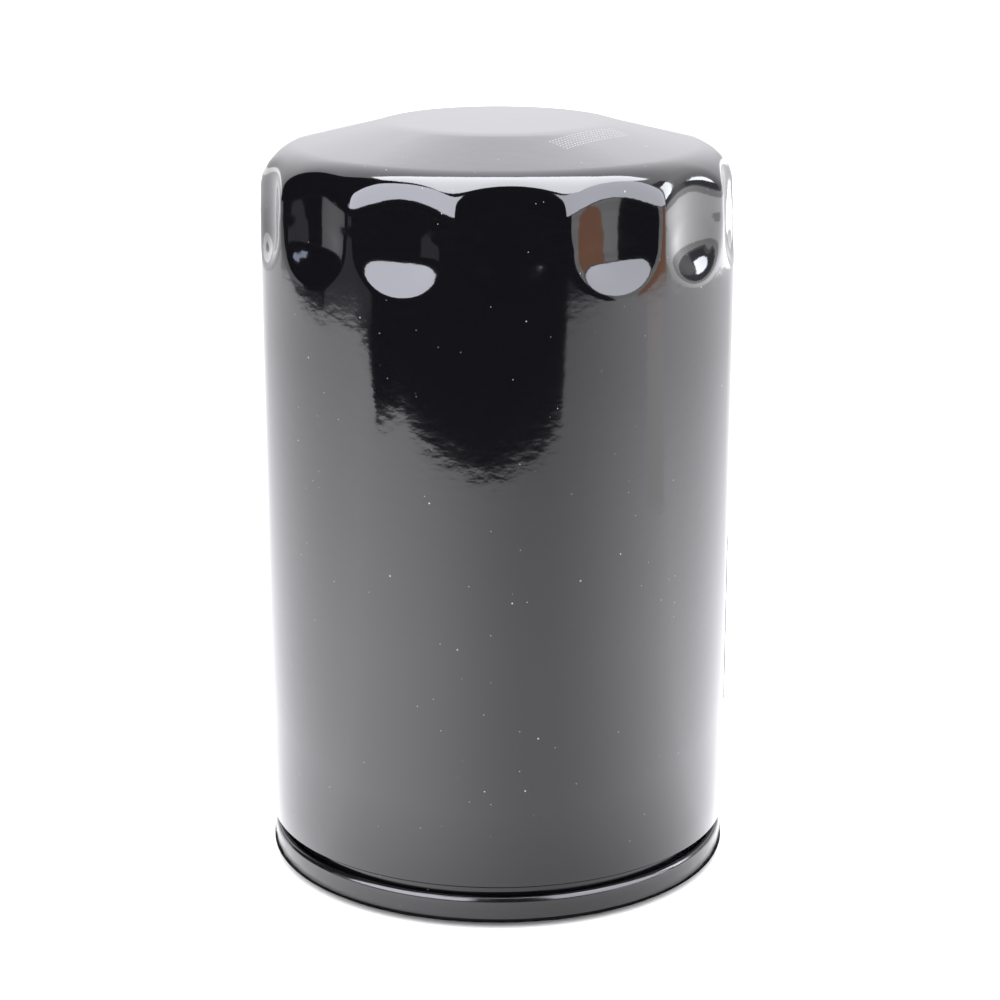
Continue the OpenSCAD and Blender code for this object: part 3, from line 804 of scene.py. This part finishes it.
def steel(name, color, rough, grain=(1.0, 1.0, 1.0), bump=0.000006, stain=None):
    """Bare or plated steel: drawing lines, blotches, fine scratches and, with stain, oil or rust marks."""
    m = Nodes(name)
    lines = m.noise(1400, 4.0, 0.6, m.stretch(*grain))
    blotch = m.noise(130, 3.0, 0.55)
    scratch = m.ramp(m.noise(2600, 2.0, 0.5, m.stretch(0.08, 1.0, 1.0)), 0.66, 0.72)
    tint = m.mix(m.ramp(blotch, 0.35, 0.7), color, tuple(c * 0.78 for c in color[:3]) + (1.0,))
    tint = m.mix(m.math("MULTIPLY", scratch, 0.35), tint, gray(0.75))
    if stain:
        tint = m.mix(m.math("MULTIPLY", m.ramp(m.noise(300, 5.0, 0.65), 0.62, 0.72), 0.6), tint, stain)
    m.set(
        Base_Color=tint,
        Metallic=1.0,
        Roughness=m.ramp(m.math("ADD", lines, blotch), 0.7, 1.3, *rough),
        Normal=m.bump(lines, bump, 1.0, m.bump(scratch, 0.000002)),
    )
    return m.material


def rubber(name, color, shine, bloom_level, grain_size=1800, grain_depth=0.000012):
    """Moulded rubber: fine grain, flow marks, pale bloom and lint."""
    m = Nodes(name)
    grain = m.noise(grain_size, 3.0, 0.6)
    flow = m.noise(90, 2.0, 0.5, m.stretch(1.0, 1.0, 3.0))
    bloom = m.ramp(m.noise(160, 4.0, 0.6), 0.45, 0.75, 0.0, bloom_level)
    lint = m.specks(700, 0.05, 0.05)
    pale = tuple(c * 1.6 + 0.01 for c in color[:3]) + (1.0,)
    m.set(
        Base_Color=m.mix(lint, m.mix(bloom, color, pale), gray(0.3)),
        Roughness=m.ramp(grain, 0.3, 0.7, shine, shine + 0.2),
        Normal=m.bump(grain, grain_depth, 1.0, m.bump(flow, 0.00006)),
    )
    return m.material


def paper():
    """Resin-treated filter paper: fibres, fine corrugation along the pleats and uneven resin."""
    m = Nodes("filter_paper")
    fibre = m.noise(3200, 5.0, 0.7, m.stretch(1.0, 1.0, 0.5))
    resin = m.ramp(m.noise(110, 4.0, 0.6), 0.35, 0.7)
    corrugation = m.add("ShaderNodeTexWave", Vector=m.place, Scale=420.0, Distortion=0.6)
    corrugation.bands_direction = "Z"
    color = m.mix(resin, (0.70, 0.52, 0.26, 1.0), (0.80, 0.66, 0.40, 1.0))
    color = m.mix(m.ramp(fibre, 0.55, 0.75, 0.0, 0.35), color, (0.9, 0.82, 0.62, 1.0))
    m.set(
        Base_Color=color,
        Roughness=m.ramp(fibre, 0.3, 0.7, 0.75, 0.95),
        Normal=m.bump(corrugation.outputs["Fac"], 0.00005, 1.0, m.bump(fibre, 0.00002)),
    )
    return m.material


def glue(name, color):
    """Cured plastisol: lumpy, satin, with trapped bubbles."""
    m = Nodes(name)
    lumps = m.noise(420, 3.0, 0.55)
    bubbles = m.specks(900, 0.16, 0.2)
    m.set(
        Base_Color=m.mix(m.ramp(lumps, 0.35, 0.7), color, tuple(c * 0.7 for c in color[:3]) + (1.0,)),
        Roughness=m.ramp(lumps, 0.3, 0.7, 0.3, 0.5),
        Normal=m.bump(lumps, 0.00008, 1.0, m.bump(bubbles, 0.00002)),
        Subsurface_Weight=0.15,
        Subsurface_Radius=(0.001, 0.001, 0.0006),
    )
    return m.material


def label_film():
    """Blank matt charcoal film with a thin paler frame and light handling marks."""
    m = Nodes("label_film")
    split = m.add("ShaderNodeSeparateXYZ", Vector=m.place)
    centre = (LABEL_Z0 + LABEL_Z1) / 2 * MM
    half = (LABEL_Z1 - LABEL_Z0) / 2 * MM
    away = m.math("ABSOLUTE", m.math("SUBTRACT", split.outputs["Z"], centre))
    past, short = m.math("GREATER_THAN", away, half - 0.0022), m.math("LESS_THAN", away, half - 0.0016)
    band = m.math("MULTIPLY", past, short)
    grain = m.noise(2400, 3.0, 0.6)
    marks = m.ramp(m.noise(500, 4.0, 0.7, m.stretch(1.0, 1.0, 0.15)), 0.62, 0.72, 0.0, 0.25)
    color = m.mix(band, m.mix(marks, gray(0.016), gray(0.035)), gray(0.08))
    m.set(Base_Color=color, Roughness=m.ramp(grain, 0.3, 0.7, 0.5, 0.65), Normal=m.bump(grain, 0.000004))
    return m.material


def assign(obj, material):
    """Gives the object that one material."""
    obj.data.materials.clear()
    obj.data.materials.append(material)


# ---------------------------------------------------------------- build
PAINT = can_paint()
LID_PAINT = lid_paint()

can_shell = build_canister()
assign(can_shell, PAINT)
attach(can_shell, "housing")
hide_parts("canister")

rolled_lid = build_lid()
assign(rolled_lid, LID_PAINT)
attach(rolled_lid, "housing")
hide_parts("seaming_lid")

GASKET_RUBBER = rubber("gasket_rubber", gray(0.018), 0.42, 0.5)
VALVE_RUBBER = rubber("valve_rubber", (0.42, 0.09, 0.03, 1.0), 0.34, 0.3, 1500, 0.000006)
SEAL_RUBBER = rubber("bypass_seal_rubber", gray(0.02), 0.4, 0.4)
PLATE_STEEL = steel(
    "plate_steel", (0.62, 0.61, 0.57, 1.0), (0.24, 0.42), (1.0, 1.0, 0.3), stain=(0.30, 0.24, 0.15, 1.0)
)
CAP_STEEL = steel("cap_steel", (0.66, 0.65, 0.62, 1.0), (0.2, 0.36), stain=(0.42, 0.34, 0.2, 1.0))
TUBE_STEEL = steel("tube_steel", (0.6, 0.6, 0.6, 1.0), (0.25, 0.42), (1.0, 1.0, 0.1))
CLIP_STEEL = steel("clip_steel", (0.64, 0.64, 0.64, 1.0), (0.2, 0.35), (1.0, 1.0, 0.05))
VALVE_STEEL = steel("valve_steel", (0.66, 0.62, 0.46, 1.0), (0.18, 0.34), (0.4, 0.4, 1.0))
SPRING_STEEL = steel("spring_steel", (0.5, 0.5, 0.51, 1.0), (0.2, 0.36), (1.0, 1.0, 3.0), 0.000004)
PAPER = paper()
LOWER_GLUE = glue("lower_glue", (0.16, 0.30, 0.20, 1.0))
UPPER_GLUE = glue("upper_glue", (0.17, 0.31, 0.20, 1.0))
COMPOUND = glue("seam_compound", (0.34, 0.29, 0.16, 1.0))
LABEL_LOOK = label_film()


def place(piece, material, body, node):
    """Gives a piece its material and slot, rides it on its body and lets it stand for its CAD node."""
    assign(piece, material)
    if body:
        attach(piece, body)
    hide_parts(node)
    return piece


place(build_gasket(), GASKET_RUBBER, "housing", "sealing_gasket")
place(build_plate(), PLATE_STEEL, "housing", "base_plate")
valve_collar, valve_skirt = build_valve()
place(valve_collar, VALVE_RUBBER, "housing", "drain_back_collar")
place(valve_skirt, VALVE_RUBBER, None, "drain_back_flap")
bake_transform(valve_skirt)
place(build_label(), LABEL_LOOK, "housing", "label")
place(build_lower_cap(), CAP_STEEL, "element", "lower_end_cap")
place(build_upper_cap(), CAP_STEEL, "element", "upper_end_cap")
lower_ring = build_glue("lower_glue_ring", TUBE_R + 0.1, LOWER_CAP_TOP, 1)
place(lower_ring, LOWER_GLUE, "element", "lower_adhesive")
upper_ring = build_glue("upper_glue_ring", UPPER_GLUE_IN, MEDIA_Z1, 2)
place(upper_ring, UPPER_GLUE, "element", "upper_adhesive")
place(build_media(), PAPER, "element", "pleated_media")
place(build_poppet(), VALVE_STEEL, "bypass_valve", "bypass_poppet")
seal_disc = ring("seal_disc", [
    (SEAL_IN, SEAL_TOP), (SEAL_OUT, SEAL_TOP), (SEAL_OUT, SEAL_Z), (SEAL_IN, SEAL_Z),
], 0.25, 72)
place(seal_disc, SEAL_RUBBER, "bypass_valve", "bypass_seal")
washer = ring("retainer_washer", [
    (SEAL_IN, SEAL_TOP + RETAINER_T), (RETAINER_R, SEAL_TOP + RETAINER_T),
    (RETAINER_R, SEAL_TOP), (SEAL_IN, SEAL_TOP),
], 0.1, 72)
place(washer, VALVE_STEEL, "bypass_valve", "seal_retainer")

ELEMENT_Z0, ELEMENT_Z1 = UPPER_CAP_TOP + 0.05, TOP - WALL - 0.05
ELEMENT_H = ELEMENT_Z1 - ELEMENT_Z0
element_coil = build_coil("element_coil", ELEMENT_COIL_R, ELEMENT_WIRE, 5, ELEMENT_Z0, ELEMENT_H)
place(element_coil, SPRING_STEEL, "housing", "element_spring")
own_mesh(element_coil)

BYPASS_Z0, BYPASS_Z1 = CAGE_Z + 0.65, POPPET_Z - 0.05
BYPASS_H = BYPASS_Z1 - BYPASS_Z0
bypass_coil = build_coil("bypass_coil", BYPASS_COIL_R, BYPASS_WIRE, 6, BYPASS_Z0, BYPASS_H)
place(bypass_coil, SPRING_STEEL, "element", "bypass_spring")
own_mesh(bypass_coil)

NODE_LOOKS = {
    "seam_sealant": COMPOUND,
    "media_seam_clip": CLIP_STEEL,
    "center_tube": TUBE_STEEL,
    "bypass_cage": VALVE_STEEL,
}
for name, material in NODE_LOOKS.items():
    assign(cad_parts[name], material)


# ---------------------------------------------------------------- stage, light and camera
def emission(name, color, strength):
    material = bpy.data.materials.new(name)
    material.use_nodes = True
    tree = material.node_tree
    tree.nodes.clear()
    shader = tree.nodes.new("ShaderNodeEmission")
    shader.inputs["Color"].default_value = color
    shader.inputs["Strength"].default_value = strength
    out = tree.nodes.new("ShaderNodeOutputMaterial")
    tree.links.new(shader.outputs[0], out.inputs["Surface"])
    return material


def card(name, corners, material):
    """A studio card that only reflections see; corners are in metres."""
    mesh = bpy.data.meshes.new(name)
    mesh.from_pydata(corners, [], [list(range(len(corners)))])
    obj = bpy.data.objects.new(name, mesh)
    bpy.context.scene.collection.objects.link(obj)
    mesh.materials.append(material)
    obj.visible_camera = False
    obj.visible_diffuse = False
    obj.visible_shadow = False
    return obj


def around(azimuth, distance, height):
    """A point at that azimuth, counted from -Y towards +X."""
    a = math.radians(azimuth)
    return (distance * math.sin(a), -distance * math.cos(a), height)


BLACK = emission("card_black", (0, 0, 0, 1), 0.0)
DIM = emission("card_dim", (0.85, 0.85, 0.95, 1), 0.45)
OVERHEAD = emission("card_overhead", (0.93, 0.94, 1.0, 1), 15.5)
LEFT_BOX = emission("card_left_box", (0.89, 0.90, 1.0, 1), 12.4)
RIGHT_BOX = emission("card_right_box", (0.89, 0.90, 1.0, 1), 9.6)
LAMP = emission("card_lamp", (0.9, 0.93, 1.0, 1), 15.0)
SMALL_LAMP = emission("card_small_lamp", (0.7, 0.8, 1.0, 1), 5.0)
BROWN = emission("card_brown", (1.0, 0.50, 0.30, 1), 2.4)
TAN = emission("card_tan", (1.0, 0.97, 0.96, 1), 3.5)
LOW_LEFT = emission("card_low_left", (0.95, 0.95, 1.0, 1), 1.0)
SIDE_TABLE = emission("card_side_table", (0.97, 0.97, 1.0, 1), 4.6)
BACK_TABLE = emission("card_back_table", (0.97, 0.97, 1.0, 1), 1.3)

WALL_FAR = 1.4


def graded(name, build):
    """An emission material whose strength comes from the function build(nodes, emission tree)."""
    m = Nodes(name)
    m.tree.nodes.remove(m.shader)
    shader = m.tree.nodes.new("ShaderNodeEmission")
    shader.inputs["Color"].default_value = (0.97, 0.96, 1.0, 1.0)
    m.put(shader.inputs["Strength"], build(m))
    out = m.tree.nodes["Material Output"]
    m.tree.links.new(shader.outputs[0], out.inputs["Surface"])
    return m.material


def backdrop_light(m):
    """Dimmer near the horizon and towards the sides, brighter above."""
    split = m.add("ShaderNodeSeparateXYZ", Vector=m.place)
    side = m.ramp(m.math("ABSOLUTE", split.outputs["X"]), 0.3, 1.7, 1.0, 0.72)
    return m.math("MULTIPLY", side, m.ramp(split.outputs["Z"], 0.25, 1.25, 1.22, 2.95))


def table_light(m):
    """The lit table as reflections see it: dimmer in front and behind, falling off with distance, and with
    the can's shadow painted in as a darkening close to the can.
    """
    split = m.add("ShaderNodeSeparateXYZ", Vector=m.place)
    x, y = split.outputs["X"], split.outputs["Y"]
    azimuth = m.math("ARCTAN2", x, m.math("MULTIPLY", y, -1.0))
    off = m.math("DIVIDE", m.math("SUBTRACT", azimuth, math.radians(18)), math.radians(48))
    front = m.math("EXPONENT", m.math("MULTIPLY", m.math("MULTIPLY", off, off), -1.0))
    level = m.math("SUBTRACT", 4.85, m.math("MULTIPLY", front, 2.5))
    left = m.ramp(azimuth, math.radians(-145), math.radians(-66), 0.42, 1.0)
    right = m.ramp(azimuth, math.radians(86), math.radians(145), 1.0, 0.42)
    level = m.math("MULTIPLY", m.math("MULTIPLY", level, left), right)
    away = m.math("SQRT", m.math("ADD", m.math("MULTIPLY", x, x), m.math("MULTIPLY", y, y)))
    level = m.math("MULTIPLY", level, m.ramp(away, 0.16, 0.42, 1.0, 0.74))
    # Painted shadow of the can: the table's glow drops to 0.75 at 42 mm from the axis and rises to full by
    # 85 mm.
    return m.math("MULTIPLY", level, m.ramp(away, 0.042, 0.085, 0.75, 1.0))


def screen(name, azimuths, distance, elevations, material):
    """Upright cards round the object, between two elevations as seen from its shoulder."""
    first, last = azimuths
    count = max(1, round((last - first) / 12))
    low, high = (SHOULDER_Z * MM + distance * math.tan(math.radians(e)) for e in elevations)
    for i in range(count):
        a, b = (first + (last - first) * k / count for k in (i, i + 1))
        corners = [(a, low), (b, low), (b, high), (a, high)]
        card(f"{name}_{i}", [around(azimuth, distance, z) for azimuth, z in corners], material)


def sector(name, azimuths, inner, outer, height, material):
    """A flat sector on the table."""
    first, last = azimuths
    count = max(1, round((last - first) / 10))
    angles = [first + (last - first) * k / count for k in range(count + 1)]
    near = [around(a, inner, height) for a in angles]
    card(name, near + [around(a, outer, height) for a in angles[::-1]], material)


card("overhead_softbox", [
    (-0.45, -0.36, 0.92), (0.66, -0.36, 0.92), (0.66, 0.34, 0.92), (-0.45, 0.34, 0.92),
], OVERHEAD)

TABLE = graded("card_table", table_light)
for i in range(8):
    sector(f"table_{i}", (-180 + 45 * i, -135 + 45 * i), 0.041, 0.62, 0.0006, TABLE)

# The edge of the unlit floor in front, as (azimuth, distance): it shapes the dark reflection on the can
near_edge = [
    (-124, 0.60), (-95, 0.50), (-72, 0.52), (-62, 0.46), (-57, 0.36), (-44, 0.375), (-30, 0.335),
    (-18, 0.320), (-4, 0.312), (9, 0.325), (20, 0.335), (29, 0.37), (32, 0.52), (45, 0.56), (56, 0.59),
]
edge = [around(a, d, 0.001) for a, d in near_edge]
far = [around(a, WALL_FAR, 0.001) for a in range(56, -125, -12)]
card("dark_floor", edge + far, BLACK)
screen("dark_room", (-124, 56), WALL_FAR, (-4.5, 66), BLACK)
screen("dark_room_right", (56, 88), WALL_FAR, (4, 66), BLACK)
sector("dim_floor", (-88, -60), 0.50, 1.3, 0.0013, DIM)
sector("low_left_floor", (-124, -103), 0.56, 1.3, 0.0013, LOW_LEFT)
sector("side_table", (88, 150), 0.55, 1.38, 0.0013, SIDE_TABLE)
sector("back_table", (150, 236), 0.62, 2.15, 0.0013, BACK_TABLE)
sector("contact_shade", (-180, 0), 0.030, 0.0402, 0.0004, BLACK)
sector("contact_shade_back", (0, 180), 0.030, 0.0402, 0.0004, BLACK)
screen("left_softbox", (-78, -13), 1.15, (5, 54), LEFT_BOX)
screen("right_softbox", (27, 92), 1.15, (5, 54), RIGHT_BOX)
screen("side_room", (96, 114), 1.3, (2, 10), DIM)
screen("side_room_top", (96, 114), 1.3, (34, 42), DIM)
screen("side_lamp", (98, 112), 1.2, (9, 35), LAMP)
screen("small_lamp", (-88, -82), 1.1, (4, 10), SMALL_LAMP)
screen("backdrop", (94, 266), 2.2, (0.5, 62), graded("card_backdrop", backdrop_light))
sector("tan_strip", (73, 83), 0.26, 0.52, 0.0012, TAN)
sector("brown_strip", (67, 85), 0.56, 1.38, 0.0014, BROWN)
screen("brown_board", (67, 85), 1.38, (-4.6, 4), BROWN)

floor_mesh = bpy.data.meshes.new("floor")
FLOOR = 30
floor_mesh.from_pydata([
    (-FLOOR, -FLOOR, 0), (FLOOR, -FLOOR, 0), (FLOOR, FLOOR, 0), (-FLOOR, FLOOR, 0),
], [], [[0, 1, 2, 3]])
floor = bpy.data.objects.new("floor", floor_mesh)
bpy.context.scene.collection.objects.link(floor)
floor_look = Nodes("floor_pale")
floor_look.set(Base_Color=(0.9, 0.9, 0.9, 1.0), Roughness=0.9)
floor_mesh.materials.append(floor_look.material)

world = bpy.data.worlds.new("studio")
world.use_nodes = True
world.node_tree.nodes["Background"].inputs["Color"].default_value = (0.985, 0.99, 1.0, 1.0)
world.node_tree.nodes["Background"].inputs["Strength"].default_value = 2.6
bpy.context.scene.world = world
bpy.context.scene.view_settings.view_transform = "Standard"

CAMERA_BACK = 11.0 * CAN_R * MM
CAMERA_UP = (0.42 * 11.0 * CAN_R + SEAM_BOTTOM) * MM
CAMERA_PITCH = math.radians(15.6)
camera_data = bpy.data.cameras.new("camera")
camera_data.sensor_width = 36.0
camera_data.lens = 94.45
camera_data.shift_x = 0.0023
camera = bpy.data.objects.new("camera", camera_data)
camera.location = (0.0, -CAMERA_BACK, CAMERA_UP)
camera.rotation_euler = (math.radians(90) - CAMERA_PITCH, 0.0, 0.0)
bpy.context.scene.collection.objects.link(camera)
bpy.context.scene.camera = camera
